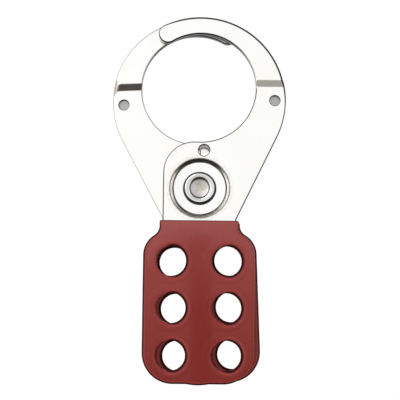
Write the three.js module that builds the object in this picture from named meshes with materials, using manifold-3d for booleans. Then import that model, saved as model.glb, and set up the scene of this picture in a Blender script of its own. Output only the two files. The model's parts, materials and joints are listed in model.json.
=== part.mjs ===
// Six-padlock lockout hasp: two identical stamped steel jaw plates, turned back to back and
// joined scissor-wise by one semi-tubular rivet, each with its handle dipped in red vinyl.
// Millimetres. +Z is up towards the jaws, the front face looks towards -Y, and the origin is
// the centre of the jaw opening on the plane where the two plates meet.

import * as THREE from 'three';
import Module from 'manifold-3d';
import { mergeVertices } from 'three/addons/utils/BufferGeometryUtils.js';

const wasm = await Module();
wasm.setup();

// ---------------------------------------------------------------- driving dimensions

// One jaw plate in its own frame: the rivet axis is at the origin and the plate is closed.
const PLATE_THICKNESS = 2.7;
const EMBOSS = 1.2;               // inward step of the rivet recess and of the upper arm
const MEETING_GAP = 0.05;         // from the meeting plane to each plate's recess and upper arm
const JAW_RADIUS = 19.05;         // 1-1/2 inch jaw opening
const JAW_CENTRE_Z = 35.15;       // jaw centre above the rivet
const ARM_RADIUS = 29.5;          // outer edge of the arm
const ARM_CENTRE_Z = 30.75;
const TIP_RADIUS = 3.29;
const NECK_HALF_WIDTH = 12.6;
const NECK_CORNER_Z = -10.85;     // where the arm's straight side meets the neck
const HUB_RADIUS = 10.8;          // rounded corner of the plate beside the rivet
const STEP_Z = 36.75;             // middle of the arm's step
const STEP_HEIGHT = 3.2;          // height over which the arm steps inwards
const CREASE_BEND = 0.2;          // share of the step's height rounded at each of its ends

const RECESS_MOUTH_RADIUS = 10.3;
const RECESS_FLOOR_RADIUS = 9.1;
const RECESS_WALL_DEPTH = 0.8;    // below its wall the recess's floor dishes gently
const RECESS_FLAT_RADIUS = 5.6;   // and is flat within this radius
const BOSS_EXTRA_RADIUS = 0.95;   // the recess shows behind as a boss this much wider
const BORE_RADIUS = 4.0;

// Small tooling holes: one right through beside the rivet, one sunk in from both faces of the arm.
const HUB_HOLE = { x: 1.4, z: 13.1, radius: 1.9 };
const ARM_HOLE = { x: 25.6, z: 30.65, radius: 1.8 };
const ARM_HOLE_DEPTH = 1.05;

// Handle, as coated.
const COAT_THICKNESS = 0.95;
const COAT_GAP = 0.15;            // clearance between the steel and its coating
const HANDLE_HALF_WIDTH = 19.05;
const HANDLE_BOTTOM_Z = -66.7;
const HANDLE_CORNER_RADIUS = 10.5;
const SHOULDER_RADIUS = 8.0;
const SHOULDER_CENTRE_Z = -23.05;
const SHOULDER_FILLET = 4.0;
const COAT_EDGE_ROUNDING = 0.8;
const COAT_EDGE_STEPS = 2;
const DRIP_HALF_WIDTH = 3.8;      // bead left at the bottom where the dipped coat ran off
const DRIP_DEPTH = 0.4;
const FRONT_COAT_TOP_Z = -11.15;
const REAR_COAT_TOP_Z = -12.05;
const PADLOCK_HOLE_RADIUS = 5.15;
const PADLOCK_HOLE_X = 9.5;
const PADLOCK_HOLE_ROWS = [-25.0, -41.05, -57.15];

// Rivet.
const SHANK_RADIUS = 3.95;
const CLINCH_RADIUS = 5.45;
const CLINCH_HEIGHT = 1.7;
const CLINCH_CREST_RADIUS = 4.7;
const CLINCH_FOOT_RADIUS = 5.15;
const OUTER_ROLL_DEPTH = 1.1;
const HOLLOW_MOUTH_RADIUS = 3.45;
const INNER_ROLL_DEPTH = 0.45;
const HOLLOW_RADIUS = 3.2;
const HOLLOW_WALL_DEPTH = 0.6;
const HOLLOW_DEPTH = 1.1;         // at the middle of its dished floor
const RIVET_HEAD_RADIUS = 6.25;
const RIVET_HEAD_HEIGHT = 2.1;
const RIVET_HEAD_EDGE = 0.35;
const RIVET_HEAD_CHAMFER = 0.2;

// The two plates stand this far apart from closed, half the angle on each side.
const REST_OPENING_DEG = 2.4;

const DEG = Math.PI / 180;
const ARC_STEP = 5 * DEG;
const HOLE_SIDES = 20;
const TURNED_SIDES = 48;
const ROLL_STEP_DEG = 30;
const DOME_STEP_DEG = 15;
const CUT_REACH = 20;             // length of the cutting blocks, enough to clear the part
const SURFACE_OVERRUN = 1;        // and pressed or joined ones this far past a surface
const SAME_POINT = 1e-4;
const WELD_DISTANCE = 1e-5;
const COAT_HALF_DEPTH = PLATE_THICKNESS / 2 + COAT_THICKNESS;
// Depth of the plate's mid-plane in the handle: the recess floor, pushed in by EMBOSS, stops
// MEETING_GAP short of the plane where the two plates meet.
const PLATE_MID_Y = -(MEETING_GAP + EMBOSS + PLATE_THICKNESS / 2);

// ---------------------------------------------------------------- outlines (x, z)

// Points on an arc from one angle to the other, in degrees, both ends included.
function arc(x, z, radius, fromDeg, toDeg) {
  const sweep = (toDeg - fromDeg) * DEG;
  const steps = Math.max(3, Math.ceil(Math.abs(sweep) / ARC_STEP));
  return Array.from({ length: steps + 1 }, (_, i) => {
    const angle = fromDeg * DEG + (sweep * i) / steps;
    return new THREE.Vector2(x + radius * Math.cos(angle), z + radius * Math.sin(angle));
  });
}

// Corners of a hole's outline, with no point repeated where it closes.
function circle(x, z, radius) {
  return Array.from({ length: HOLE_SIDES }, (_, i) => {
    const angle = (-2 * Math.PI * i) / HOLE_SIDES;
    return new THREE.Vector2(x + radius * Math.cos(angle), z + radius * Math.sin(angle));
  });
}

function angleDeg(x, z) {
  return Math.atan2(z, x) / DEG;
}

// Centre of the tip's rounding: it touches the arm's outer and inner edges, left of the middle.
function tipCentre() {
  const fromArm = ARM_RADIUS - TIP_RADIUS;
  const fromJaw = JAW_RADIUS + TIP_RADIUS;
  const spacing = JAW_CENTRE_Z - ARM_CENTRE_Z;
  const rise = (fromArm ** 2 - fromJaw ** 2 + spacing ** 2) / (2 * spacing);
  return new THREE.Vector2(-Math.sqrt(fromArm ** 2 - rise ** 2), ARM_CENTRE_Z + rise);
}

// Right half of the handle below the neck, from the neck down to the bottom middle, drawn
// inset from the coated outline by the given amount.
function handleSide(inset, neckTopZ) {
  const shoulder = SHOULDER_RADIUS - inset;
  const fillet = SHOULDER_FILLET + inset;
  const neck = NECK_HALF_WIDTH + COAT_THICKNESS - inset;
  const shoulderX = HANDLE_HALF_WIDTH - SHOULDER_RADIUS;
  const filletX = neck + fillet;
  const filletZ = SHOULDER_CENTRE_Z + Math.sqrt((shoulder + fillet) ** 2 - (filletX - shoulderX) ** 2);
  const turn = angleDeg(filletX - shoulderX, filletZ - SHOULDER_CENTRE_Z);
  const corner = HANDLE_CORNER_RADIUS - inset;
  const cornerX = HANDLE_HALF_WIDTH - HANDLE_CORNER_RADIUS;
  const cornerZ = HANDLE_BOTTOM_Z + HANDLE_CORNER_RADIUS;
  return [
    new THREE.Vector2(neck, neckTopZ),
    ...arc(filletX, filletZ, fillet, 180, turn + 180),
    ...arc(shoulderX, SHOULDER_CENTRE_Z, shoulder, turn, 0),
    ...arc(cornerX, cornerZ, corner, 0, -90),
  ];
}

function mirrored(points) {
  return points.map((point) => new THREE.Vector2(-point.x, point.y)).reverse();
}

// Outline of the handle alone, with a flat top at the given height and any points given for
// the middle of its bottom edge.
function handleOutline(inset, topZ, bottom = []) {
  const side = handleSide(inset, topZ);
  return [...side, ...bottom, ...mirrored(side)];
}

// Shallow arc that hangs below the bottom edge of the coating.
function dripArc(inset) {
  const radius = (DRIP_HALF_WIDTH ** 2 + DRIP_DEPTH ** 2) / (2 * DRIP_DEPTH);
  const spread = Math.asin(DRIP_HALF_WIDTH / radius) / DEG;
  const centreZ = HANDLE_BOTTOM_Z + inset - DRIP_DEPTH + radius;
  return arc(0, centreZ, radius, spread - 90, -spread - 90);
}

// Outline of a whole jaw plate whose arm is on the right, clockwise from the tip.
function plateOutline() {
  const tip = tipCentre();
  const toNeck = new THREE.Vector2(NECK_HALF_WIDTH, NECK_CORNER_Z - ARM_CENTRE_Z);
  const flare = angleDeg(toNeck.x, toNeck.y) + Math.acos(ARM_RADIUS / toNeck.length()) / DEG;
  const tipOuter = angleDeg(tip.x, tip.y - ARM_CENTRE_Z);
  const tipInner = angleDeg(tip.x, tip.y - JAW_CENTRE_Z);
  const hubX = HUB_RADIUS - NECK_HALF_WIDTH;
  const hubZ = JAW_CENTRE_Z - Math.sqrt((JAW_RADIUS + HUB_RADIUS) ** 2 - hubX ** 2);
  const hubMeet = angleDeg(-hubX, JAW_CENTRE_Z - hubZ);
  const side = handleSide(COAT_THICKNESS, NECK_CORNER_Z);
  return [
    ...arc(0, ARM_CENTRE_Z, ARM_RADIUS, tipOuter, flare),
    ...side,
    ...mirrored(side),
    ...arc(hubX, hubZ, HUB_RADIUS, 180, hubMeet),
    ...arc(0, JAW_CENTRE_Z, JAW_RADIUS, hubMeet - 180, tipInner),
    ...arc(tip.x, tip.y, TIP_RADIUS, tipInner + 180, tipOuter).slice(1, -1),
  ];
}

// Centres of the padlock holes in the handle.
function padlockHoleCentres() {
  return PADLOCK_HOLE_ROWS.flatMap((z) => [
    new THREE.Vector2(-PADLOCK_HOLE_X, z),
    new THREE.Vector2(PADLOCK_HOLE_X, z),
  ]);
}

// Drops points that lie on the one before, which leaves only the shape's real corners.
function withoutRepeats(points) {
  return points.filter((point, i) => point.distanceTo(points.at(i - 1)) > SAME_POINT);
}

// The outlines above run clockwise, and extruding a shape with holes wants them the other way.
function shapeWithHoles(points, holes) {
  const shape = new THREE.Shape(withoutRepeats(points).reverse());
  for (const hole of holes) {
    shape.holes.push(new THREE.Path(circle(hole.x, hole.z, hole.radius)));
  }
  return shape;
}

// ---------------------------------------------------------------- solids

// Extrudes an (x, z) shape along +Y, centred on the given depth.
function slab(shape, depth, midY, options = {}) {
  const geometry = new THREE.ExtrudeGeometry(shape, {
    depth,
    bevelEnabled: false,
    ...options,
  });
  geometry.translate(0, 0, -depth / 2);
  geometry.rotateX(Math.PI / 2);
  geometry.translate(0, midY, 0);
  return geometry;
}

function toSolid(geometry) {
  const bare = geometry.index ? geometry.toNonIndexed() : geometry.clone();
  bare.deleteAttribute('normal');
  bare.deleteAttribute('uv');
  const merged = mergeVertices(bare, WELD_DISTANCE);
  return new wasm.Manifold(new wasm.Mesh({
    numProp: 3,
    vertProperties: new Float32Array(merged.attributes.position.array),
    triVerts: new Uint32Array(realTriangles(merged.index.array)),
  }));
}

// Leaves out the triangles that a turned profile flattens to a line where it meets its axis.
function realTriangles(index) {
  const kept = [];
  for (let i = 0; i < index.length; i += 3) {
    const [a, b, c] = index.slice(i, i + 3);
    if (a !== b && b !== c && c !== a) {
      kept.push(a, b, c);
    }
  }
  return kept;
}

function toGeometry(solid) {
  const mesh = solid.getMesh();
  const geometry = new THREE.BufferGeometry();
  geometry.setAttribute('position', new THREE.BufferAttribute(mesh.vertProperties, 3));
  geometry.setIndex(new THREE.BufferAttribute(mesh.triVerts, 1));
  geometry.computeVertexNormals();
  return geometry;
}

// A solid turned about the rivet axis (Y) from a profile of (radius, y) points.
function turned(profile, segments) {
  const points = profile.map(([radius, y]) => new THREE.Vector2(radius, y));
  return new THREE.LatheGeometry(points, segments);
}

// 0 to 1 with a straight middle and rounded ends.
function crease(t) {
  const scale = 2 * CREASE_BEND * (1 - CREASE_BEND);
  if (t < CREASE_BEND) {
    return t ** 2 / scale;
  }
  if (t > 1 - CREASE_BEND) {
    return 1 - (1 - t) ** 2 / scale;
  }
  return (t - CREASE_BEND / 2) / (1 - CREASE_BEND);
}

// Everything the bent sheet can fill: the sheet's side profile (y, z), run across the plate.
// Above the step the sheet lies EMBOSS nearer to the other plate.
function bentSheet() {
  const reach = ARM_RADIUS + CUT_REACH;
  const front = PLATE_MID_Y - PLATE_THICKNESS / 2;
  const centreLine = [[0, HANDLE_BOTTOM_Z - CUT_REACH]];
  for (const t of [0, CREASE_BEND / 2, CREASE_BEND, 1 - CREASE_BEND, 1 - CREASE_BEND / 2, 1]) {
    centreLine.push([EMBOSS * crease(t), STEP_Z + STEP_HEIGHT * (t - 0.5)]);
  }
  centreLine.push([EMBOSS, ARM_CENTRE_Z + ARM_RADIUS + CUT_REACH]);
  const near = centreLine.map(([y, z]) => new THREE.Vector2(-(front + y), z));
  const far = near.map((point) => new THREE.Vector2(point.x - PLATE_THICKNESS, point.y)).reverse();
  const shape = new THREE.Shape([...near, ...far]);
  const geometry = new THREE.ExtrudeGeometry(shape, { depth: 2 * reach, bevelEnabled: false });
  geometry.translate(0, 0, -reach);
  // Profile x becomes -Y, profile y becomes Z and the run becomes X.
  const basis = new THREE.Matrix4().makeBasis(
    new THREE.Vector3(0, -1, 0),
    new THREE.Vector3(0, 0, 1),
    new THREE.Vector3(-1, 0, 0),
  );
  geometry.applyMatrix4(basis);
  return toSolid(geometry);
}

// A round plug about an axis along Y, from one depth and radius to another.
function plug(x, z, fromY, fromRadius, toY, toRadius, sides = TURNED_SIDES) {
  const profile = [[0, fromY], [fromRadius, fromY], [toRadius, toY], [0, toY]];
  const geometry = turned(profile, sides);
  geometry.translate(x, 0, z);
  return toSolid(geometry);
}

// The recess as it shows on the inner face: a tapered boss with a flat top.
function bossSolid(back) {
  const slope = (RECESS_MOUTH_RADIUS - RECESS_FLOOR_RADIUS) / EMBOSS;
  const top = RECESS_FLOOR_RADIUS + BOSS_EXTRA_RADIUS;
  const foot = top + slope * (EMBOSS + SURFACE_OVERRUN);
  return plug(0, 0, back - SURFACE_OVERRUN, foot, back + EMBOSS, top);
}

// What is pressed away from the front face: the recess's wall, its dished floor and its flat middle.
function recessSolid(front) {
  const slope = (RECESS_MOUTH_RADIUS - RECESS_FLOOR_RADIUS) / RECESS_WALL_DEPTH;
  const above = front - SURFACE_OVERRUN;
  const profile = [
    [0, above],
    [RECESS_MOUTH_RADIUS + slope * SURFACE_OVERRUN, above],
    [RECESS_FLOOR_RADIUS, front + RECESS_WALL_DEPTH],
    [RECESS_FLAT_RADIUS, front + EMBOSS],
    [0, front + EMBOSS],
  ];
  return toSolid(turned(profile, TURNED_SIDES));
}

function jawPlateGeometry() {
  const holes = [HUB_HOLE];
  for (const centre of padlockHoleCentres()) {
    holes.push({ x: centre.x, z: centre.y, radius: PADLOCK_HOLE_RADIUS + COAT_THICKNESS });
  }
  const front = PLATE_MID_Y - PLATE_THICKNESS / 2;
  const back = PLATE_MID_Y + PLATE_THICKNESS / 2;
  const blank = toSolid(slab(shapeWithHoles(plateOutline(), holes), CUT_REACH, 0));
  const sheet = blank.intersect(bentSheet());
  const bore = plug(0, 0, -CUT_REACH, BORE_RADIUS, CUT_REACH, BORE_RADIUS);
  const { x, z, radius } = ARM_HOLE;
  const frontFloor = front + ARM_HOLE_DEPTH;
  const backFloor = back - ARM_HOLE_DEPTH;
  const frontSink = plug(x, z, front - SURFACE_OVERRUN, radius, frontFloor, radius, HOLE_SIDES);
  const backSink = plug(x, z, backFloor, radius, back + SURFACE_OVERRUN, radius, HOLE_SIDES);
  const pressed = sheet.add(bossSolid(back)).subtract(recessSolid(front)).subtract(bore);
  return toGeometry(pressed.subtract(frontSink).subtract(backSink));
}

function coatingGeometry(topZ) {
  const holes = padlockHoleCentres().map((centre) => ({
    x: centre.x,
    z: centre.y,
    radius: PADLOCK_HOLE_RADIUS + COAT_EDGE_ROUNDING,
  }));
  const inset = COAT_EDGE_ROUNDING;
  const outline = handleOutline(inset, topZ - inset, dripArc(inset));
  const core = 2 * (COAT_HALF_DEPTH - inset);
  const skin = toSolid(slab(shapeWithHoles(outline, holes), core, PLATE_MID_Y, {
    bevelEnabled: true,
    bevelThickness: inset,
    bevelSize: inset,
    bevelSegments: COAT_EDGE_STEPS,
  }));
  const linerRadius = PADLOCK_HOLE_RADIUS + COAT_THICKNESS - COAT_GAP;
  const liners = padlockHoleCentres().map((centre) => ({
    x: centre.x,
    z: centre.y,
    radius: linerRadius,
  }));
  const pocket = shapeWithHoles(handleOutline(COAT_THICKNESS - COAT_GAP, topZ + CUT_REACH), liners);
  const pocketSolid = toSolid(slab(pocket, PLATE_THICKNESS + 2 * COAT_GAP, PLATE_MID_Y));
  return toGeometry(skin.subtract(pocketSolid));
}

// One closed profile: dished hollow, rolled-over clinch at the front, shank, domed rear head.
function rivetGeometry() {
  const seat = PLATE_THICKNESS + 2 * MEETING_GAP;
  const crest = -(seat + CLINCH_HEIGHT);
  const headEdge = seat + RIVET_HEAD_EDGE;
  const outerRoll = CLINCH_RADIUS - CLINCH_CREST_RADIUS;
  const innerRoll = CLINCH_CREST_RADIUS - HOLLOW_MOUTH_RADIUS;
  const dish = HOLLOW_DEPTH - HOLLOW_WALL_DEPTH;
  const dome = RIVET_HEAD_HEIGHT - RIVET_HEAD_EDGE;
  const profile = [[0, crest + HOLLOW_DEPTH]];
  for (let turn = ROLL_STEP_DEG; turn <= 90; turn += ROLL_STEP_DEG) {
    const depth = HOLLOW_WALL_DEPTH + dish * Math.cos(turn * DEG);
    profile.push([HOLLOW_RADIUS * Math.sin(turn * DEG), crest + depth]);
  }
  for (let turn = 0; turn <= 90; turn += ROLL_STEP_DEG) {
    profile.push([
      CLINCH_CREST_RADIUS - innerRoll * Math.cos(turn * DEG),
      crest + INNER_ROLL_DEPTH * (1 - Math.sin(turn * DEG)),
    ]);
  }
  for (let turn = 90 - ROLL_STEP_DEG; turn >= 0; turn -= ROLL_STEP_DEG) {
    profile.push([
      CLINCH_CREST_RADIUS + outerRoll * Math.cos(turn * DEG),
      crest + OUTER_ROLL_DEPTH * (1 - Math.sin(turn * DEG)),
    ]);
  }
  profile.push([CLINCH_FOOT_RADIUS, -seat], [SHANK_RADIUS, -seat], [SHANK_RADIUS, seat]);
  profile.push([RIVET_HEAD_RADIUS - RIVET_HEAD_CHAMFER, seat], [RIVET_HEAD_RADIUS, headEdge]);
  for (let turn = DOME_STEP_DEG; turn < 90; turn += DOME_STEP_DEG) {
    profile.push([
      RIVET_HEAD_RADIUS * Math.cos(turn * DEG),
      headEdge + dome * Math.sin(turn * DEG),
    ]);
  }
  profile.push([0, headEdge + dome]);
  return turned(profile, TURNED_SIDES);
}

// ---------------------------------------------------------------- materials

const zincSteel = new THREE.MeshStandardMaterial({ color: 0xd9d9d6, metalness: 1.0, roughness: 0.32 });
const rivetSteel = new THREE.MeshStandardMaterial({ color: 0xc4c3be, metalness: 1.0, roughness: 0.38 });
const redVinyl = new THREE.MeshStandardMaterial({ color: 0x8f3b37, metalness: 0.0, roughness: 0.45 });

// ---------------------------------------------------------------- assembly

function named(name, geometry, material) {
  const mesh = new THREE.Mesh(geometry, material);
  mesh.name = name;
  return mesh;
}

// The front jaw turns its handle to the left and its arm to the right as the hasp opens.
function frontJaw() {
  const jaw = new THREE.Group();
  jaw.rotation.y = (REST_OPENING_DEG / 2) * DEG;
  jaw.add(named('front_jaw_plate', jawPlateGeometry(), zincSteel));
  jaw.add(named('front_handle_coating', coatingGeometry(FRONT_COAT_TOP_Z), redVinyl));
  return jaw;
}

// The rear jaw is the same stamping turned half round about +Z, with the rivet's head behind it.
function rearJaw() {
  const jaw = new THREE.Group();
  const turnedRound = new THREE.Group();
  turnedRound.rotation.z = Math.PI;
  turnedRound.add(named('rear_jaw_plate', jawPlateGeometry(), zincSteel));
  turnedRound.add(named('rear_handle_coating', coatingGeometry(REAR_COAT_TOP_Z), redVinyl));
  jaw.rotation.y = -(REST_OPENING_DEG / 2) * DEG;
  jaw.add(turnedRound);
  jaw.add(named('pivot_rivet', rivetGeometry(), rivetSteel));
  return jaw;
}

const hasp = new THREE.Group();
hasp.name = 'lockout_hasp';
hasp.add(frontJaw(), rearJaw());
hasp.position.z = -JAW_CENTRE_Z;

export default hasp;
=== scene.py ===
"""Looks of the lockout hasp: two stamped steel jaw plates, their dipped handles and the rivet.

Shapes are drawn in millimetres in one plate's own frame: the rivet axis is the origin, x runs
across, z up to the jaws and y into the depth, with the hasp closed. Each jaw is then turned into
its place in the row frame, in metres, with the frame's own joint.
"""

import json
import math

import bpy
from mathutils import Matrix, Vector, noise
from mathutils.geometry import delaunay_2d_cdt
from mathutils.kdtree import KDTree


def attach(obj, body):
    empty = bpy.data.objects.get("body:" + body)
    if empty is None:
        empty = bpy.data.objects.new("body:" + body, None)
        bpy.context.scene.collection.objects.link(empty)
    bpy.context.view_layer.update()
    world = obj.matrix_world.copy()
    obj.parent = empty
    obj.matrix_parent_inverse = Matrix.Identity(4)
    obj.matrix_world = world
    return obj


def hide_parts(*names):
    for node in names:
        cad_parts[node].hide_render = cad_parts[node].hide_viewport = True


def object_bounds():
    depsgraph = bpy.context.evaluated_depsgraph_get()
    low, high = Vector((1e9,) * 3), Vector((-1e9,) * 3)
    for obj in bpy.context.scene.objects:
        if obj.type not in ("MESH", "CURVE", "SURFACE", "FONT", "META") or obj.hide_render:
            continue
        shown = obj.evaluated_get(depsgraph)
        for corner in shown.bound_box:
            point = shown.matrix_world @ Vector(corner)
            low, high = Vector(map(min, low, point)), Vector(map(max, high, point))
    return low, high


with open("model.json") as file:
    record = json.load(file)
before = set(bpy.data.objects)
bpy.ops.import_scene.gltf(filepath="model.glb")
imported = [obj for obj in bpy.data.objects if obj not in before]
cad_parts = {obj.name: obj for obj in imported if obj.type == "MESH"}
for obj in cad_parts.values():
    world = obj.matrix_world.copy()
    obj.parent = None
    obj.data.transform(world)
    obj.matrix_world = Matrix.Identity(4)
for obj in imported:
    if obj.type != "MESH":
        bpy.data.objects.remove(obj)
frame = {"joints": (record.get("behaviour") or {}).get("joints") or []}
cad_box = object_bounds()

MM = 0.001

# ---------------------------------------------------------------- dimensions, mm, as in the CAD

PLATE_THICKNESS = 2.7
EMBOSS = 1.2
MEETING_GAP = 0.05
JAW_RADIUS = 19.05
JAW_CENTRE_Z = 35.15
ARM_RADIUS = 29.45                # a hair inside the CAD's facets, like the tips, drip and head
ARM_CENTRE_Z = 30.75
TIP_RADIUS = 3.27
NECK_HALF_WIDTH = 12.6
NECK_CORNER_Z = -10.85
HUB_RADIUS = 10.8
STEP_Z = 36.75
STEP_HEIGHT = 3.2
CREASE_BEND = 0.2
RECESS_MOUTH_RADIUS = 10.3
RECESS_FLOOR_RADIUS = 9.1
RECESS_WALL_DEPTH = 0.8
RECESS_FLAT_RADIUS = 5.6
BOSS_EXTRA_RADIUS = 0.95
BORE_RADIUS = 4.0
HUB_HOLE = (1.4, 13.1, 1.9)
ARM_HOLE = (25.6, 30.65, 1.8)
ARM_HOLE_DEPTH = 1.05

COAT_THICKNESS = 0.95
HANDLE_HALF_WIDTH = 19.05
HANDLE_BOTTOM_Z = -66.7
HANDLE_CORNER_RADIUS = 10.5
SHOULDER_RADIUS = 8.0
SHOULDER_CENTRE_Z = -23.05
SHOULDER_FILLET = 4.0
FRONT_COAT_TOP_Z = -11.15
REAR_COAT_TOP_Z = -12.05
DRIP_HALF_WIDTH = 3.8
DRIP_DEPTH = 0.38
PADLOCK_HOLE_RADIUS = 5.15
PADLOCK_HOLE_X = 9.5
PADLOCK_HOLE_ROWS = (-25.0, -41.05, -57.15)

SHANK_RADIUS = 3.95
CLINCH_RADIUS = 5.45
CLINCH_HEIGHT = 1.7
CLINCH_CREST_RADIUS = 4.7
CLINCH_FOOT_RADIUS = 5.15
OUTER_ROLL_DEPTH = 1.1
HOLLOW_MOUTH_RADIUS = 3.45
INNER_ROLL_DEPTH = 0.45
HOLLOW_RADIUS = 3.2
HOLLOW_WALL_DEPTH = 0.6
HOLLOW_DEPTH = 1.1
RIVET_HEAD_RADIUS = 6.25
RIVET_HEAD_HEIGHT = 2.09
RIVET_HEAD_EDGE = 0.35

# Finish of the edges.
SHEARED_EDGE = 0.5                # rounding left on the steel's cut edges
ROLLED_EDGE = 0.9                 # and along each arm's outer side, which the die rolled more
FAINT_EDGE = 0.026                # cut_edge value that keeps an edge's painted shade faint
HOLE_EDGE = 0.24                  # rounding at the sunk holes and the rivet bore
HUB_HOLE_EDGE = 0.42
RECESS_BEND = 0.15                # share of the recess's wall rounded at each of its ends
SOFT_STEP_REACH = 1.6             # along the arm's outer edge the step is drawn out this far in
SOFT_STEP_STRETCH = 1.6
SINK_CORNER = 0.12                # where a sunk hole's wall meets its floor
COAT_EDGE = 1.25                  # rounding of the vinyl over the steel's outline
COAT_TOP_EDGE = 0.5               # rounding along the edge where the dip stopped
TOP_CORNER = 0.6
LIP_WIDTH = 2.3                   # how far the vinyl eases down towards each padlock hole
LIP_DEPTH = 0.9
BEAD_RADIUS = 7.35                # faint raised bead round each hole's lip
BEAD_WIDTH = 0.5
BEAD_HEIGHT = 0.16
WAVE_DEPTH = 0.05                 # slow waves in the dipped skin
WAVE_WIDTH = 9.0
WAVE_RISE = 12.0

# Spacing of the meshes' points.
CURVE_STEP = 0.35                 # along arcs, before an edge is split evenly
CORNER_STEP = 0.1
PLATE_EDGE_STEP = 0.45
SMALL_HOLE_STEP = 0.25
BORE_STEP = 0.4
COVERED_HOLE_STEP = 0.6           # the plates' padlock holes are hidden under the vinyl
COAT_EDGE_STEP = 0.4
PLATE_GRID = 1.6
COAT_GRID = 0.6
WALL_RING_GAP = 0.12              # between rings over the recess's wall
WALL_RING_STEP = 0.24             # along them
DISH_RINGS = (5.0, 5.4, 5.7, 6.0, 6.4, 7.0, 7.6, 8.2, 8.6)
DISH_RING_STEP = 0.6
SLOPE_GAP = 0.1                   # between rows of points over the arm's step
SLOPE_STEP = 0.6                  # along them
SOFT_SLOPE_STEP = 0.4             # and near the arm's outer edge
EDGE_CLEARANCE = 0.18             # no other point stands closer to an edge
SAME_POINT = 1e-4
RIVET_SEGMENTS = 112
HOLLOW_STEPS = 13
ROLL_STEPS = 12
DOME_STEPS = 24

# The floor, in metres.
FLOOR_RADIUS = 1.6
FLOOR_DROP = 0.22                 # below the hasp
FLOOR_SIDES = 96

# The camera, in metres and degrees.
CAMERA_PLACE = (0.0, -0.350, -0.075)
CAMERA_PITCH = 4.54
CAMERA_ROLL = -0.54
CAMERA_LENS = 91.4
CAMERA_SHIFT = 0.06

# Brightness by height in the surroundings, as (half of one plus the direction's z, colour).
FRONT_SKY = (
    (0.0, 0.025), (0.12, 0.02), (0.20, (0.055, 0.052, 0.05)), (0.265, (0.27, 0.235, 0.19)),
    (0.345, (0.86, 0.82, 0.76)), (0.43, 1.0), (0.71, 1.0), (0.855, (0.37, 0.36, 0.32)),
    (1.0, (0.37, 0.36, 0.33)),
)
BACK_SKY = (
    (0.0, 0.0), (0.15, 0.03), (0.265, 0.2), (0.36, 0.4), (0.44, 0.25), (0.465, 0.3), (0.51, 0.85),
    (0.57, 0.95), (0.8, 0.75), (1.0, 0.36),
)

PLATE_MID_Y = -(MEETING_GAP + EMBOSS + PLATE_THICKNESS / 2)
COAT_HALF_DEPTH = PLATE_THICKNESS / 2 + COAT_THICKNESS

# ---------------------------------------------------------------- the frame's joint

PIVOT_JOINT = frame["joints"][0]
PIVOT = Vector(PIVOT_JOINT["pos_m"])
REST_OPENING = -math.radians(PIVOT_JOINT["range_deg"][0])


def jaw_matrix(front):
    """Turns a closed plate's own frame into the row frame: the rear is the front, turned round."""
    half = REST_OPENING / 2 if front else -REST_OPENING / 2
    swing = Matrix.Rotation(half, 4, "Y")
    turned_round = Matrix.Identity(4) if front else Matrix.Rotation(math.pi, 4, "Z")
    return Matrix.Translation(PIVOT) @ swing @ turned_round @ Matrix.Scale(MM, 4)


# ---------------------------------------------------------------- outlines (x, z)


def arc(x, z, radius, start, end, step=CURVE_STEP):
    """Points on an arc from one angle to the other, in degrees, about step mm apart."""
    count = max(4, math.ceil(abs(math.radians(end - start)) * radius / step))
    angles = [math.radians(start + (end - start) * i / count) for i in range(count + 1)]
    return [Vector((x + radius * math.cos(a), z + radius * math.sin(a))) for a in angles]


def angle_of(x, z):
    return math.degrees(math.atan2(z, x))


def mirrored(points):
    return [Vector((-p.x, p.y)) for p in reversed(points)]


def handle_side(inset, neck_top):
    """Right edge of the handle from the neck down to the bottom, inset from the coated outline."""
    shoulder = SHOULDER_RADIUS - inset
    fillet = SHOULDER_FILLET + inset
    neck = NECK_HALF_WIDTH + COAT_THICKNESS - inset
    shoulder_x = HANDLE_HALF_WIDTH - SHOULDER_RADIUS
    fillet_x = neck + fillet
    rise = math.sqrt((shoulder + fillet) ** 2 - (fillet_x - shoulder_x) ** 2)
    turn = angle_of(fillet_x - shoulder_x, rise)
    corner = HANDLE_CORNER_RADIUS - inset
    corner_x = HANDLE_HALF_WIDTH - HANDLE_CORNER_RADIUS
    corner_z = HANDLE_BOTTOM_Z + HANDLE_CORNER_RADIUS
    return (
        [Vector((neck, neck_top))]
        + arc(fillet_x, SHOULDER_CENTRE_Z + rise, fillet, 180, turn + 180)
        + arc(shoulder_x, SHOULDER_CENTRE_Z, shoulder, turn, 0)
        + arc(corner_x, corner_z, corner, 0, -90)
    )


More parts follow.
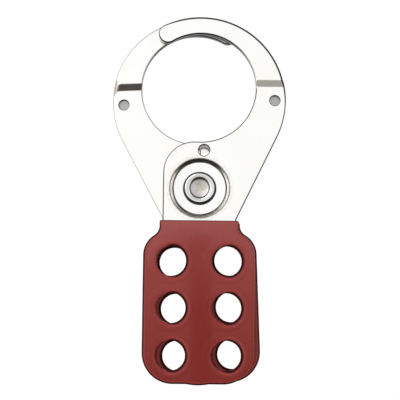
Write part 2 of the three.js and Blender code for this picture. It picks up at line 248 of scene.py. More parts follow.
def plate_outline():
    """Outline of a whole jaw plate whose arm is on the right, clockwise from the tip."""
    spacing = JAW_CENTRE_Z - ARM_CENTRE_Z
    from_arm = ARM_RADIUS - TIP_RADIUS
    tip_rise = (from_arm**2 - (JAW_RADIUS + TIP_RADIUS) ** 2 + spacing**2) / (2 * spacing)
    tip = Vector((-math.sqrt(from_arm**2 - tip_rise**2), ARM_CENTRE_Z + tip_rise))
    to_neck = Vector((NECK_HALF_WIDTH, NECK_CORNER_Z - ARM_CENTRE_Z))
    flare = angle_of(*to_neck) + math.degrees(math.acos(ARM_RADIUS / to_neck.length))
    tip_outer = angle_of(tip.x, tip.y - ARM_CENTRE_Z)
    tip_inner = angle_of(tip.x, tip.y - JAW_CENTRE_Z)
    hub_x = HUB_RADIUS - NECK_HALF_WIDTH
    hub_z = JAW_CENTRE_Z - math.sqrt((JAW_RADIUS + HUB_RADIUS) ** 2 - hub_x**2)
    hub_meet = angle_of(-hub_x, JAW_CENTRE_Z - hub_z)
    side = handle_side(COAT_THICKNESS, NECK_CORNER_Z)
    return (
        arc(0, ARM_CENTRE_Z, ARM_RADIUS, tip_outer, flare)
        + side
        + mirrored(side)
        + arc(hub_x, hub_z, HUB_RADIUS, 180, hub_meet)
        + arc(0, JAW_CENTRE_Z, JAW_RADIUS, hub_meet - 180, tip_inner)
        + arc(tip.x, tip.y, TIP_RADIUS, tip_inner + 180, tip_outer)
    )


def coat_outline(top):
    """Outline of a dipped handle: rounded top corners, and the bead where the vinyl ran off."""
    drip_radius = (DRIP_HALF_WIDTH**2 + DRIP_DEPTH**2) / (2 * DRIP_DEPTH)
    spread = math.degrees(math.asin(DRIP_HALF_WIDTH / drip_radius))
    drip_centre_z = HANDLE_BOTTOM_Z - DRIP_DEPTH + drip_radius
    drip = arc(0, drip_centre_z, drip_radius, spread - 90, -spread - 90)
    side = handle_side(0, top - TOP_CORNER)
    half_width = side[0].x
    corner = arc(half_width - TOP_CORNER, top - TOP_CORNER, TOP_CORNER, 90, 0, CORNER_STEP)
    right = corner + side[1:]
    return right + drip + mirrored(right)


def circle(x, z, radius, step):
    count = max(24, math.ceil(2 * math.pi * radius / step))
    angles = [2 * math.pi * i / count for i in range(count)]
    return [Vector((x + radius * math.cos(a), z + radius * math.sin(a))) for a in angles]


def evenly(points, step):
    """The closed outline with long edges split, and no point repeated."""
    result = []
    for i, point in enumerate(points):
        before = points[i - 1]
        gap = (point - before).length
        if gap < SAME_POINT:
            continue
        pieces = max(1, math.ceil(gap / step))
        result += [before.lerp(point, k / pieces) for k in range(1, pieces + 1)]
    return result


def outward_normals(points, hole):
    """Unit normals of a closed outline that point out of the material."""
    area = sum(points[i - 1].cross(points[i]) for i in range(len(points)))
    sign = 1 if (area > 0) != hole else -1
    result = []
    for i, point in enumerate(points):
        along = points[(i + 1) % len(points)] - points[i - 1]
        result.append(Vector((along.y, -along.x)).normalized() * sign)
    return result


def inside(points, x, z):
    """True if (x, z) lies within the closed outline."""
    result = False
    for i, b in enumerate(points):
        a = points[i - 1]
        if (a.y > z) != (b.y > z) and x < a.x + (z - a.y) * (b.x - a.x) / (b.y - a.y):
            result = not result
    return result


# ---------------------------------------------------------------- sheet builder


class Edge:
    """One closed edge of a sheet, with the rounding that leads from each face to its wall.

    rounding(point) gives the rounding's (width across the face, depth into the wall) there. A hole
    with a sink is cut that deep from both faces and doesn't go through. cut(turned, point)
    gives the cut_edge value where the rounding has turned from 0 on the face to 1 on the wall.
    """

    def __init__(self, points, hole, rounding, step, wall_steps=1, sink=None, cut=None):
        self.points = evenly(points, step)
        self.sink = sink
        self.hole = hole
        self.normals = outward_normals(self.points, hole)
        self.roundings = [rounding(p) for p in self.points]
        self.wall_steps = wall_steps
        self.cut = cut or (lambda turned, point: turned)

    def inset(self):
        return [p - n * r[0] for p, n, r in zip(self.points, self.normals, self.roundings)]


def same(width, depth=None):
    """A rounding that is the same all along an edge."""
    return lambda point: (width, width if depth is None else depth)


def sheet_mesh(name, place, edges, extra_points, front, back, turns=6):
    """A closed sheet between two height functions, y = front(x, z) and y = back(x, z), in mm.

    Both faces share one triangulation of the area inside the edges' insets. Each edge then gets a
    rounded strip from the front face, its wall and a rounded strip to the back face, and every
    corner of the mesh gets the true surface's normal. The cut_edge attribute is 0 on the faces,
    and what the edge's cut says on its roundings and wall. place turns the sheet's own frame into
    the row frame.
    """
    rims = [edge.inset() for edge in edges]
    flat = [p for rim in rims for p in rim]
    starts = [sum(len(r) for r in rims[:k]) for k in range(len(rims))]
    links = [
        (start + i, start + (i + 1) % len(rim))
        for start, rim in zip(starts, rims) for i in range(len(rim))
    ]
    taken = KDTree(len(flat))
    for i, p in enumerate(flat):
        taken.insert((p.x, p.y, 0), i)
    taken.balance()
    kept = [
        p for p in extra_points
        if taken.find((p.x, p.y, 0))[2] > EDGE_CLEARANCE and in_material(rims, p)
    ]
    points, _, faces, _, _, _ = delaunay_2d_cdt(flat + kept, links, [], 0, 1e-6)
    count = len(points)
    if count != len(flat) + len(kept):
        raise ValueError(f"{name}: the triangulation changed the outline")
    surface = Surface()
    for height, side in ((front, -1), (back, 1)):
        for p in points:
            surface.add(Vector((p.x, height(p.x, p.y), p.y)), face_normal(height, p, side), 0.0)
    for face in faces:
        a, b, c = (points[i] for i in face)
        if in_material(rims, (a + b + c) / 3):
            tri = face if (b - a).cross(c - a) > 0 else tuple(reversed(face))
            surface.polys.append(tuple(tri))
            surface.polys.append(tuple(count + i for i in reversed(tri)))
    turn_angles = [math.pi / 2 * k / turns for k in range(1, turns + 1)]
    for edge, rim, start in zip(edges, rims, starts):
        size = len(rim)
        near = [list(range(start, start + size))]
        near += [rounded_ring(surface, edge, rim, front, -1, t) for t in turn_angles]
        far = [list(range(count + start, count + start + size))]
        far += [rounded_ring(surface, edge, rim, back, 1, t) for t in turn_angles]
        clockwise = sum(rim[i - 1].cross(rim[i]) for i in range(size)) < 0
        material_right = clockwise != edge.hole
        if edge.sink is None:
            walls = [wall_ring(surface, edge, rim, front, back, k / edge.wall_steps)
                     for k in range(1, edge.wall_steps)]
            runs = [near + walls + far[::-1]]
        else:
            near += sink_rings(surface, edge, rim, front, -1)
            far += sink_rings(surface, edge, rim, back, 1)
            runs = [near, far[::-1]]
        for rings in runs:
            for upper, lower in zip(rings, rings[1:]):
                surface.join(upper, lower, material_right)
    return surface.mesh(name, place)


class Surface:
    """Corners, normals, faces and the cut_edge value of a mesh that is being built."""

    def __init__(self):
        self.verts = []
        self.normals = []
        self.cut_edge = []
        self.polys = []

    def add(self, place, normal, cut_edge):
        self.verts.append(place)
        self.normals.append(normal)
        self.cut_edge.append(cut_edge)
        return len(self.verts) - 1

    def join(self, upper, lower, turned):
        """Faces between two rings, either of which may be a single middle corner."""
        size = max(len(upper), len(lower))
        for i in range(size):
            j = (i + 1) % size
            if len(upper) == 1:
                face = (upper[0], lower[i], lower[j])
            elif len(lower) == 1:
                face = (upper[i], lower[0], upper[j])
            else:
                face = (upper[i], lower[i], lower[j], upper[j])
            self.polys.append(face[::-1] if turned else face)

    def mesh(self, name, place):
        turn = place.to_3x3().normalized()
        mesh = bpy.data.meshes.new(name)
        mesh.from_pydata([place @ v for v in self.verts], [], self.polys)
        mesh.attributes.new("cut_edge", "FLOAT", "POINT").data.foreach_set("value", self.cut_edge)
        mesh.shade_smooth()
        mesh.normals_split_custom_set_from_vertices([(turn @ n).normalized() for n in self.normals])
        return mesh


def face_normal(height, p, side):
    """Outward normal of y = height(x, z): side is -1 on the front face and 1 on the back."""
    reach = 0.02
    across = (height(p.x + reach, p.y) - height(p.x - reach, p.y)) / (2 * reach)
    up = (height(p.x, p.y + reach) - height(p.x, p.y - reach)) / (2 * reach)
    return Vector((-side * across, side, -side * up)).normalized()


def rounded_ring(surface, edge, rim, height, side, t):
    """One ring of an edge's rounding, where t runs from 0 on the face to a quarter turn."""
    out = math.sin(t)
    down = 1 - math.cos(t)
    ring = []
    for point, normal, (width, depth), base in zip(edge.points, edge.normals, edge.roundings, rim):
        spot = base + normal * width * out
        y = height(base.x, base.y) - side * depth * down
        lean = Vector((normal.x, 0, normal.y)) * (math.sin(t) / width)
        lean += face_normal(height, base, side) * (math.cos(t) / depth)
        corner = Vector((spot.x, y, spot.y))
        ring.append(surface.add(corner, lean.normalized(), edge.cut(down, point)))
    return ring


def wall_ring(surface, edge, rim, front, back, along):
    ring = []
    for point, normal, (_, depth), base in zip(edge.points, edge.normals, edge.roundings, rim):
        near = front(base.x, base.y) + depth
        far = back(base.x, base.y) - depth
        spot = Vector((point.x, near + (far - near) * along, point.y))
        ring.append(surface.add(spot, Vector((normal.x, 0, normal.y)), edge.cut(1.0, point)))
    return ring


def sink_rings(surface, edge, rim, height, side):
    """The foot of a sunk hole's wall, the rim of its flat floor and the floor's middle."""
    foot = []
    floor = []
    for point, normal, base in zip(edge.points, edge.normals, rim):
        face = height(base.x, base.y)
        low = Vector((point.x, face - side * (edge.sink - SINK_CORNER), point.y))
        foot.append(surface.add(low, Vector((normal.x, 0, normal.y)), edge.cut(1.0, point)))
        spot = point + normal * SINK_CORNER
        low = Vector((spot.x, face - side * edge.sink, spot.y))
        floor.append(surface.add(low, Vector((0, side, 0)), edge.cut(1.0, point)))
    middle = sum(edge.points, Vector((0, 0))) / len(edge.points)
    low = Vector((middle.x, height(middle.x, middle.y) - side * edge.sink, middle.y))
    return [foot, floor, [surface.add(low, Vector((0, side, 0)), edge.cut(1.0, middle))]]


def in_material(rims, p):
    """True if p is inside the first outline and outside the holes, which are the others."""
    outer, *holes = rims
    return inside(outer, p.x, p.y) and not any(inside(hole, p.x, p.y) for hole in holes)


def grid(x0, x1, z0, z1, step):
    """Points of a staggered grid, which triangulates evenly."""
    rows = int((z1 - z0) / step) + 1
    columns = int((x1 - x0) / step) + 1
    return [
        Vector((x0 + (c + 0.5 * (r % 2)) * step, z0 + r * step))
        for r in range(rows)
        for c in range(columns)
    ]


def rings_about(x, z, radii, step):
    return [p for radius in radii for p in circle(x, z, radius, step)]


def crease(t, bend):
    """0 to 1 with a straight middle, and the given share rounded at each end."""
    scale = 2 * bend * (1 - bend)
    t = min(1.0, max(0.0, t))
    if t < bend:
        return t * t / scale
    if t > 1 - bend:
        return 1 - (1 - t) ** 2 / scale
    return (t - bend / 2) / (1 - bend)


def piece(name, mesh, body, material, finish, *nodes):
    """Adds a finished piece to the scene in place of its CAD nodes; finish is not used."""
    obj = bpy.data.objects.new(name, mesh)
    bpy.context.scene.collection.objects.link(obj)
    mesh.materials.append(material)
    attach(obj, body)
    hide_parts(*nodes)


# ---------------------------------------------------------------- materials


def new_material(name):
    material = bpy.data.materials.new(name)
    material.use_nodes = True
    nodes = material.node_tree.nodes
    shader = nodes["Principled BSDF"]
    return material, nodes, material.node_tree.links, shader


def noise_map(nodes, links, scale, detail, low, high, stretch=(1, 1, 1)):
    """Noise in the piece's own metres, remapped to run between two values."""
    where = nodes.new("ShaderNodeTexCoord")
    mapping = nodes.new("ShaderNodeMapping")
    mapping.inputs["Scale"].default_value = stretch
    texture = nodes.new("ShaderNodeTexNoise")
    texture.inputs["Scale"].default_value = scale
    texture.inputs["Detail"].default_value = detail
    remap = nodes.new("ShaderNodeMapRange")
    remap.inputs["From Min"].default_value = 0.3
    remap.inputs["From Max"].default_value = 0.7
    remap.inputs["To Min"].default_value = low
    remap.inputs["To Max"].default_value = high
    links.new(where.outputs["Object"], mapping.inputs["Vector"])
    links.new(mapping.outputs["Vector"], texture.inputs["Vector"])
    links.new(texture.outputs["Fac"], remap.inputs["Value"])
    return remap.outputs["Result"]


def mix_colours(nodes, links, factor, a, b):
    mix = nodes.new("ShaderNodeMix")
    mix.data_type = "RGBA"
    links.new(factor, mix.inputs["Factor"])
    for socket, value in (("A", a), ("B", b)):
        target = [i for i in mix.inputs if i.name == socket and i.type == "RGBA"][0]
        if isinstance(value, tuple):
            target.default_value = value
        else:
            links.new(value, target)
    return [o for o in mix.outputs if o.type == "RGBA"][0]


def mix_values(nodes, links, factor, a, b):
    mix = nodes.new("ShaderNodeMix")
    mix.data_type = "FLOAT"
    links.new(factor, mix.inputs["Factor"])
    for socket, value in (("A", a), ("B", b)):
        target = [i for i in mix.inputs if i.name == socket and i.type == "VALUE"][0]
        if isinstance(value, float):
            target.default_value = value
        else:
            links.new(value, target)
    return [o for o in mix.outputs if o.type == "VALUE"][0]


def bump(nodes, links, heights, shader):
    """Stacks bump maps, each a (height socket, distance in metres) pair."""
    normal = None
    for height, distance in heights:
        node = nodes.new("ShaderNodeBump")
        node.inputs["Strength"].default_value = 1.0
        node.inputs["Distance"].default_value = distance
        links.new(height, node.inputs["Height"])
        if normal is not None:
            links.new(normal, node.inputs["Normal"])
        normal = node.outputs["Normal"]
    links.new(normal, shader.inputs["Normal"])


def ramp_of(nodes, links, value, stops):
    """A colour ramp through (position, gray or rgb) stops."""
    ramp = nodes.new("ShaderNodeValToRGB")
    elements = ramp.color_ramp.elements
    while len(elements) < len(stops):
        elements.new(0.5)
    for element, (position, colour) in zip(elements, stops):
        element.position = position
        element.color = (*colour, 1) if isinstance(colour, tuple) else (colour, colour, colour, 1)
    links.new(value, ramp.inputs["Fac"])
    return ramp.outputs["Color"]


def math_node(nodes, links, operation, *values):
    node = nodes.new("ShaderNodeMath")
    node.operation = operation
    for socket, value in zip(node.inputs, values):
        if isinstance(value, (int, float)):
            socket.default_value = value
        else:
            links.new(value, socket)
    return node.outputs["Value"]


def pivot_distance(nodes, links):
    """Distance of a surface point from the rivet's axis, in millimetres."""
    where = nodes.new("ShaderNodeTexCoord")
    split = nodes.new("ShaderNodeSeparateXYZ")
    links.new(where.outputs["Object"], split.inputs["Vector"])
    x = math_node(nodes, links, "DIVIDE", split.outputs["X"], MM)
    z = math_node(nodes, links, "SUBTRACT", split.outputs["Z"], PIVOT.z)
    z = math_node(nodes, links, "DIVIDE", z, MM)
    square = math_node(nodes, links, "ADD", math_node(nodes, links, "POWER", x, 2),
                       math_node(nodes, links, "POWER", z, 2))
    return math_node(nodes, links, "SQRT", square)


def ring_line(nodes, links, distance, radius, half_width, strength):
    """Strength within half of half_width of a ring about the rivet's axis, 0 past half_width."""
    away = math_node(nodes, links, "SUBTRACT", distance, radius)
    away = math_node(nodes, links, "ABSOLUTE", away)
    share = math_node(nodes, links, "DIVIDE", away, half_width)
    share = math_node(nodes, links, "MULTIPLY_ADD", share, -2.0, 2.0)
    share = math_node(nodes, links, "MAXIMUM", share, 0.0)
    share = math_node(nodes, links, "MINIMUM", share, 1.0)
    return math_node(nodes, links, "MULTIPLY", share, strength)


def rings_over(nodes, links, distance, rings, patchy):
    """The strongest of several rings at each point, broken up by a patchy map."""
    total = math_node(nodes, links, "MULTIPLY", distance, 0.0)
    for ring in rings:
        total = math_node(nodes, links, "MAXIMUM", total, ring_line(nodes, links, distance, *ring))
    return math_node(nodes, links, "MULTIPLY", total, patchy)


def steel_material(name, colour, shade_rings, stains, dull, base_roughness):
    """Bright zinc plate: painted shade along the cut edges, dull on the sheared walls, painted
    shade in rings about the rivet, and stains in others.

    The shade rings and the stains are (radius, half_width, strength) rings about the rivet's axis.
    """
    material, nodes, links, shader = new_material(name)
    shader.inputs["Metallic"].default_value = 1.0
    edge = nodes.new("ShaderNodeAttribute")
    edge.attribute_name = "cut_edge"
    cut = edge.outputs["Fac"]
    cloud = noise_map(nodes, links, 70, 4, 0.0, 1.0)
    warm = tuple(c * k for c, k in zip(colour, (0.985, 0.975, 0.94)))
    face = mix_colours(nodes, links, cloud, (*colour, 1), (*warm, 1))
    # painted shade: the roundings of the cut edges are dark, standing in for the dark reflections
    # along them
    painted_edge_shade = (0.07, 0.068, 0.062)
    edge_colour_and_shade = ramp_of(nodes, links, cut, (
        (0.0, 0.4), (0.06, painted_edge_shade), (0.7, painted_edge_shade), (0.85, 0.42), (0.97, dull),
    ))
    onto_wall = ramp_of(nodes, links, cut, ((0.0, 0.0), (0.05, 1.0)))
    tint = mix_colours(nodes, links, onto_wall, face, edge_colour_and_shade)
    distance = pivot_distance(nodes, links)
    patchy = noise_map(nodes, links, 400, 2, 0.8, 1.0)
    blotchy = noise_map(nodes, links, 950, 4, 0.0, 1.0)
    stain = rings_over(nodes, links, distance, stains, blotchy)
    tint = mix_colours(nodes, links, stain, tint, (0.42, 0.33, 0.18, 1))
    # painted shade in thin rings about the rivet's axis: painted contact shadows and dark crease
    # lines
    painted_ring_shade = rings_over(nodes, links, distance, shade_rings, patchy)
    tint = mix_colours(nodes, links, painted_ring_shade, tint, (0.02, 0.018, 0.015, 1))
    links.new(tint, shader.inputs["Base Color"])
    patches = noise_map(nodes, links, 160, 6, base_roughness - 0.03, base_roughness + 0.05)
    wear_and_shade = mix_values(nodes, links, cut, patches, 0.45)
    rough = mix_values(nodes, links, painted_ring_shade, wear_and_shade, 0.6)
    links.new(rough, shader.inputs["Roughness"])
    grain = noise_map(nodes, links, 900, 3, 0.0, 1.0, (1, 1, 6))
    scuffs = noise_map(nodes, links, 260, 8, 0.0, 1.0)
    bump(nodes, links, [(grain, 0.000002), (scuffs, 0.000004)], shader)
    return material


def vinyl_material(name, lightening):
    """Semi-gloss red dipped vinyl, with painted light: paler and grayer by the neck, and a deeper
    red low down and in the middle as painted shade.

    The second argument makes the faces paler, as painted light. Edges go from a painted highlight,
    through painted shade, to a wall tint lightened as painted light.
    """
    material, nodes, links, shader = new_material(name)
    where = nodes.new("ShaderNodeTexCoord")
    split = nodes.new("ShaderNodeSeparateXYZ")
    links.new(where.outputs["Object"], split.inputs["Vector"])
    cloud = noise_map(nodes, links, 45, 4, -0.12, 0.12)
    top = nodes.new("ShaderNodeMapRange")
    top.inputs["From Min"].default_value = PIVOT.z + HANDLE_BOTTOM_Z * MM
    top.inputs["From Max"].default_value = PIVOT.z + FRONT_COAT_TOP_Z * MM
    links.new(split.outputs["Z"], top.inputs["Value"])
    level = math_node(nodes, links, "ADD", top.outputs["Result"], cloud)
    # painted light: paler and grayer towards the neck, for a painted reflection of the white studio
    # wall and light from above; deeper red lower down
    painted_light_by_height = (
        (0.0, (0.220, 0.0245, 0.0195)),
        (0.35, (0.250, 0.0345, 0.0290)),
        (0.70, (0.283, 0.0460, 0.0410)),
        (0.92, (0.325, 0.0770, 0.0720)),
        (1.0, (0.340, 0.0850, 0.0800)),
    )
    # painted light: a copy can be made paler, to lift the shade on it
    lightened_levels = tuple((place, tuple(c * lightening for c in colour)) for place, colour in painted_light_by_height)
    tint = ramp_of(nodes, links, level, lightened_levels)
    # painted shade: a deeper red down the middle of the lower handle, where the reflection is
    # missing
    off_middle = math_node(nodes, links, "ABSOLUTE", split.outputs["X"])
    middle = ramp_of(nodes, links, math_node(nodes, links, "DIVIDE", off_middle, 0.02), (
        (0.0, 1.0), (0.13, 0.9), (0.24, 0.1), (0.4, 0.0),
    ))
    low = ramp_of(nodes, links, level, ((0.5, 1.0), (0.85, 0.0)))
    painted_shade_low_middle = math_node(nodes, links, "MULTIPLY", middle, low)
    painted_shade_low_middle = math_node(nodes, links, "MULTIPLY", painted_shade_low_middle, 0.75)
    tint = mix_colours(nodes, links, painted_shade_low_middle, tint, (0.205, 0.0150, 0.0110, 1))
    edge = nodes.new("ShaderNodeAttribute")
    edge.attribute_name = "cut_edge"
    # painted light and shade along the edges: a painted highlight where the rounding starts,
    # painted shade over the rest, and a wall tint lightened as painted light
    edge_light_and_shade = ramp_of(nodes, links, edge.outputs["Fac"], ((0.03, 0.0), (0.15, 1.0)))
    edge_colour_and_shade = ramp_of(nodes, links, edge.outputs["Fac"], (
        (0.2, (0.315, 0.0460, 0.0410)), (0.4, (0.030, 0.0035, 0.0030)),
        (0.9, (0.030, 0.0035, 0.0030)), (1.0, (0.460, 0.0540, 0.0440)),
    ))
    tint = mix_colours(nodes, links, edge_light_and_shade, tint, edge_colour_and_shade)
    turning = ramp_of(nodes, links, edge.outputs["Fac"], ((0.25, 0.0), (0.55, 1.0)))
    links.new(tint, shader.inputs["Base Color"])
    skin = noise_map(nodes, links, 220, 4, 0.24, 0.32)
    rough = mix_values(nodes, links, turning, skin, 0.95)
    links.new(rough, shader.inputs["Roughness"])
    shader.inputs["Specular IOR Level"].default_value = 0.13
    waves = noise_map(nodes, links, 75, 2, 0.0, 1.0)
    pores = noise_map(nodes, links, 1500, 3, 0.0, 1.0)
    bump(nodes, links, [(waves, 0.00012), (pores, 0.000004)], shader)
    return material


# ---------------------------------------------------------------- jaw plates


def arm_step(z, step_height):
    """How far the arm is pressed towards the other plate."""
    return EMBOSS * crease((z - STEP_Z) / step_height + 0.5, CREASE_BEND)


def recess_wall(x, z, extra_radius):
    """0 outside the recess and 1 within its wall."""
    slope = RECESS_MOUTH_RADIUS - RECESS_FLOOR_RADIUS
    return crease((RECESS_MOUTH_RADIUS + extra_radius - math.hypot(x, z)) / slope, RECESS_BEND)


def plate_front(x, z):
    dished = (RECESS_FLOOR_RADIUS - math.hypot(x, z)) / (RECESS_FLOOR_RADIUS - RECESS_FLAT_RADIUS)
    floor = (EMBOSS - RECESS_WALL_DEPTH) * crease(dished, RECESS_BEND)
    recess = RECESS_WALL_DEPTH * recess_wall(x, z, 0) + floor
    return PLATE_MID_Y - PLATE_THICKNESS / 2 + max(arm_step(z, STEP_HEIGHT), recess)


def plate_back(x, z):
    """The inner face, where the step is drawn out along the arm's outer edge."""
    from_edge = ARM_RADIUS - math.hypot(x, z - ARM_CENTRE_Z)
    soft = min(1.0, max(0.0, 1 - from_edge / SOFT_STEP_REACH))
    step_height = STEP_HEIGHT * (1 + SOFT_STEP_STRETCH * soft)
    boss = EMBOSS * recess_wall(x, z, BOSS_EXTRA_RADIUS)
    return PLATE_MID_Y + PLATE_THICKNESS / 2 + max(arm_step(z, step_height), boss)


def window(value, start, end, lightening):
    """1 between start and end, falling to 0 within fade outside them."""
    return min(1.0, max(0.0, 1 + min(value - start, end - value, 0) / lightening))


def outline_rounding(point):
    """Rounding of a plate's outline, wider along the outer side of its arm."""
    from_centre = math.hypot(point.x, point.y - ARM_CENTRE_Z)
    turn = angle_of(point.x, point.y - ARM_CENTRE_Z)
    on_arm = window(from_centre, ARM_RADIUS - 0.1, ARM_RADIUS + 0.1, 0.4)
    rolled = window(turn, 15, 105, 20) * on_arm
    return (SHEARED_EDGE + (ROLLED_EDGE - SHEARED_EDGE) * rolled, SHEARED_EDGE)


def outline_cut(front):
    """Painted shade on the rounded edges, kept faint on the rear plate and beside the jaw opening.
    """
    def cut(turned, point):
        from_centre = math.hypot(point.x, point.y - JAW_CENTRE_Z)
        turn = angle_of(point.x, point.y - JAW_CENTRE_Z)
        on_jaw = window(from_centre, JAW_RADIUS - 0.1, JAW_RADIUS + 0.1, 0.4)
        bright = window(turn, 0, 54, 7) * on_jaw if front else 1.0
        if turned > 0.97:
            return 1.0
        faint = FAINT_EDGE * (0.35 + 0.95 * window(point.y, 32, 70, 14))
        return bright * min(turned, faint) + (1 - bright) * turned
    return cut


def shaded_hub_wall(turned, point):
    """For the hole through the hub: painted shade, as dark on its wall as on its rim."""
    return 0.6 * turned


def shaded_sink_wall(turned, point):
    """For the sunk holes in the arms: painted shade makes their walls and floors darker than the
    sheared walls.
    """
    return 0.85 * turned


def recess_points():
    """Close rings over the recess's wall and its boss's behind, and wider ones over its dish."""
    start = RECESS_FLOOR_RADIUS - WALL_RING_STEP
    end = RECESS_MOUTH_RADIUS + BOSS_EXTRA_RADIUS + WALL_RING_STEP
    count = math.ceil((end - start) / WALL_RING_GAP)
    walls = [start + WALL_RING_GAP * k for k in range(count + 1)]
    return rings_about(0, 0, walls, WALL_RING_STEP) + rings_about(0, 0, DISH_RINGS, DISH_RING_STEP)


def step_points():
    """Close rows over the arm's step, spread wider near the arm's outer edge."""
    low = STEP_Z - STEP_HEIGHT / 2 - 2 * SLOPE_GAP
    count = math.ceil((STEP_HEIGHT + 4 * SLOPE_GAP) / SLOPE_GAP)
    rows = [
        Vector((x * SLOPE_STEP, low + SLOPE_GAP * k))
        for k in range(count + 1)
        for x in range(25, 52)
    ]
    outer = [
        Vector((26.6 + SOFT_SLOPE_STEP * i, STEP_Z + SLOPE_GAP * k))
        for k in range(-36, 37) if abs(k) > 18
        for i in range(8)
    ]
    return rows + outer


def jaw_plate_mesh(name, place, front):
    edges = [
        Edge(plate_outline(), False, outline_rounding, PLATE_EDGE_STEP, cut=outline_cut(front)),
        Edge(circle(*ARM_HOLE, SMALL_HOLE_STEP), True, same(HOLE_EDGE), SMALL_HOLE_STEP,
             sink=ARM_HOLE_DEPTH, cut=shaded_sink_wall),
        Edge(circle(*HUB_HOLE, SMALL_HOLE_STEP), True, same(HUB_HOLE_EDGE), SMALL_HOLE_STEP,
             cut=shaded_hub_wall),
        Edge(circle(0, 0, BORE_RADIUS, BORE_STEP), True, same(HOLE_EDGE), BORE_STEP),
    ]
    for z in PADLOCK_HOLE_ROWS:
        for side in (-1, 1):
            radius = PADLOCK_HOLE_RADIUS + COAT_THICKNESS
            hole = circle(side * PADLOCK_HOLE_X, z, radius, COVERED_HOLE_STEP)
            edges.append(Edge(hole, True, same(SHEARED_EDGE), COVERED_HOLE_STEP))
    extra = recess_points() + step_points()
    extra += [
        p for p in grid(-31, 31, HANDLE_BOTTOM_Z, 62, PLATE_GRID)
        if not (RECESS_FLOOR_RADIUS - 5 < p.length < RECESS_MOUTH_RADIUS + 2.6)
        and not (abs(p.y - STEP_Z) < STEP_HEIGHT / 2 + 0.9 and p.x > 0)
        and p.length > BORE_RADIUS + 1
    ]
    return sheet_mesh(name, place, edges, extra, plate_front, plate_back)


# ---------------------------------------------------------------- dipped coatings


def ripple(x, z, seed):
    """Depth of the dipped skin below its highest: slow waves, and a faint bead round each hole."""
    waves = WAVE_DEPTH * (1 + noise.noise(Vector((x / WAVE_WIDTH, z / WAVE_RISE, seed)))) / 2
    row = min(PADLOCK_HOLE_ROWS, key=lambda hole_z: abs(hole_z - z))
    from_hole = math.hypot(abs(x) - PADLOCK_HOLE_X, z - row)
    bead = math.exp(-(((from_hole - BEAD_RADIUS) / BEAD_WIDTH) ** 2))
    return waves + BEAD_HEIGHT * (1 - bead)


def lip_cut(hole_x):
    """Painted shade round a padlock hole's lip, lifted on its left side by painted light from the
    left.
    """
    def cut(turned, point):
        edge_light_and_shade = min(1.0, max(0.0, 0.5 - 1.2 * (point.x - hole_x) / PADLOCK_HOLE_RADIUS))
        return turned**0.8 * (1 - 0.82 * edge_light_and_shade)
    return cut


def coat_mesh(name, place, top, seed):
    def rounding(point):
        """Full over the handle's sides, tight along the edge where the dip stopped."""
        full = min(1.0, max(0.0, (top - 0.6 - point.y) / 2.5))
        size = COAT_TOP_EDGE + (COAT_EDGE - COAT_TOP_EDGE) * full
        return (size, size)

    def outline_shade(turned, point):
        """Painted shade along the handle's outline, kept faint along the side below the arm."""
        shade_lifted = min(1.0, max(0.0, (point.x - 11) / 5))
        return 0.97 * turned**0.6 * (1 - 0.85 * shade_lifted)

    edges = [Edge(coat_outline(top), False, rounding, COAT_EDGE_STEP, 3, cut=outline_shade)]
    for z in PADLOCK_HOLE_ROWS:
        for side in (-1, 1):
            hole = circle(side * PADLOCK_HOLE_X, z, PADLOCK_HOLE_RADIUS, COAT_EDGE_STEP)
            cut = lip_cut(side * PADLOCK_HOLE_X)
            edges.append(Edge(hole, True, same(LIP_WIDTH, LIP_DEPTH), COAT_EDGE_STEP, 3, cut=cut))
    extra = grid(-18, 18, HANDLE_BOTTOM_Z + 1, top - 1, COAT_GRID)

    def near(x, z):
        return PLATE_MID_Y - COAT_HALF_DEPTH + ripple(x, z, seed)

    def far(x, z):
        return PLATE_MID_Y + COAT_HALF_DEPTH - ripple(x, z, seed + 7)

    return sheet_mesh(name, place, edges, extra, near, far, 10)


# ---------------------------------------------------------------- rivet


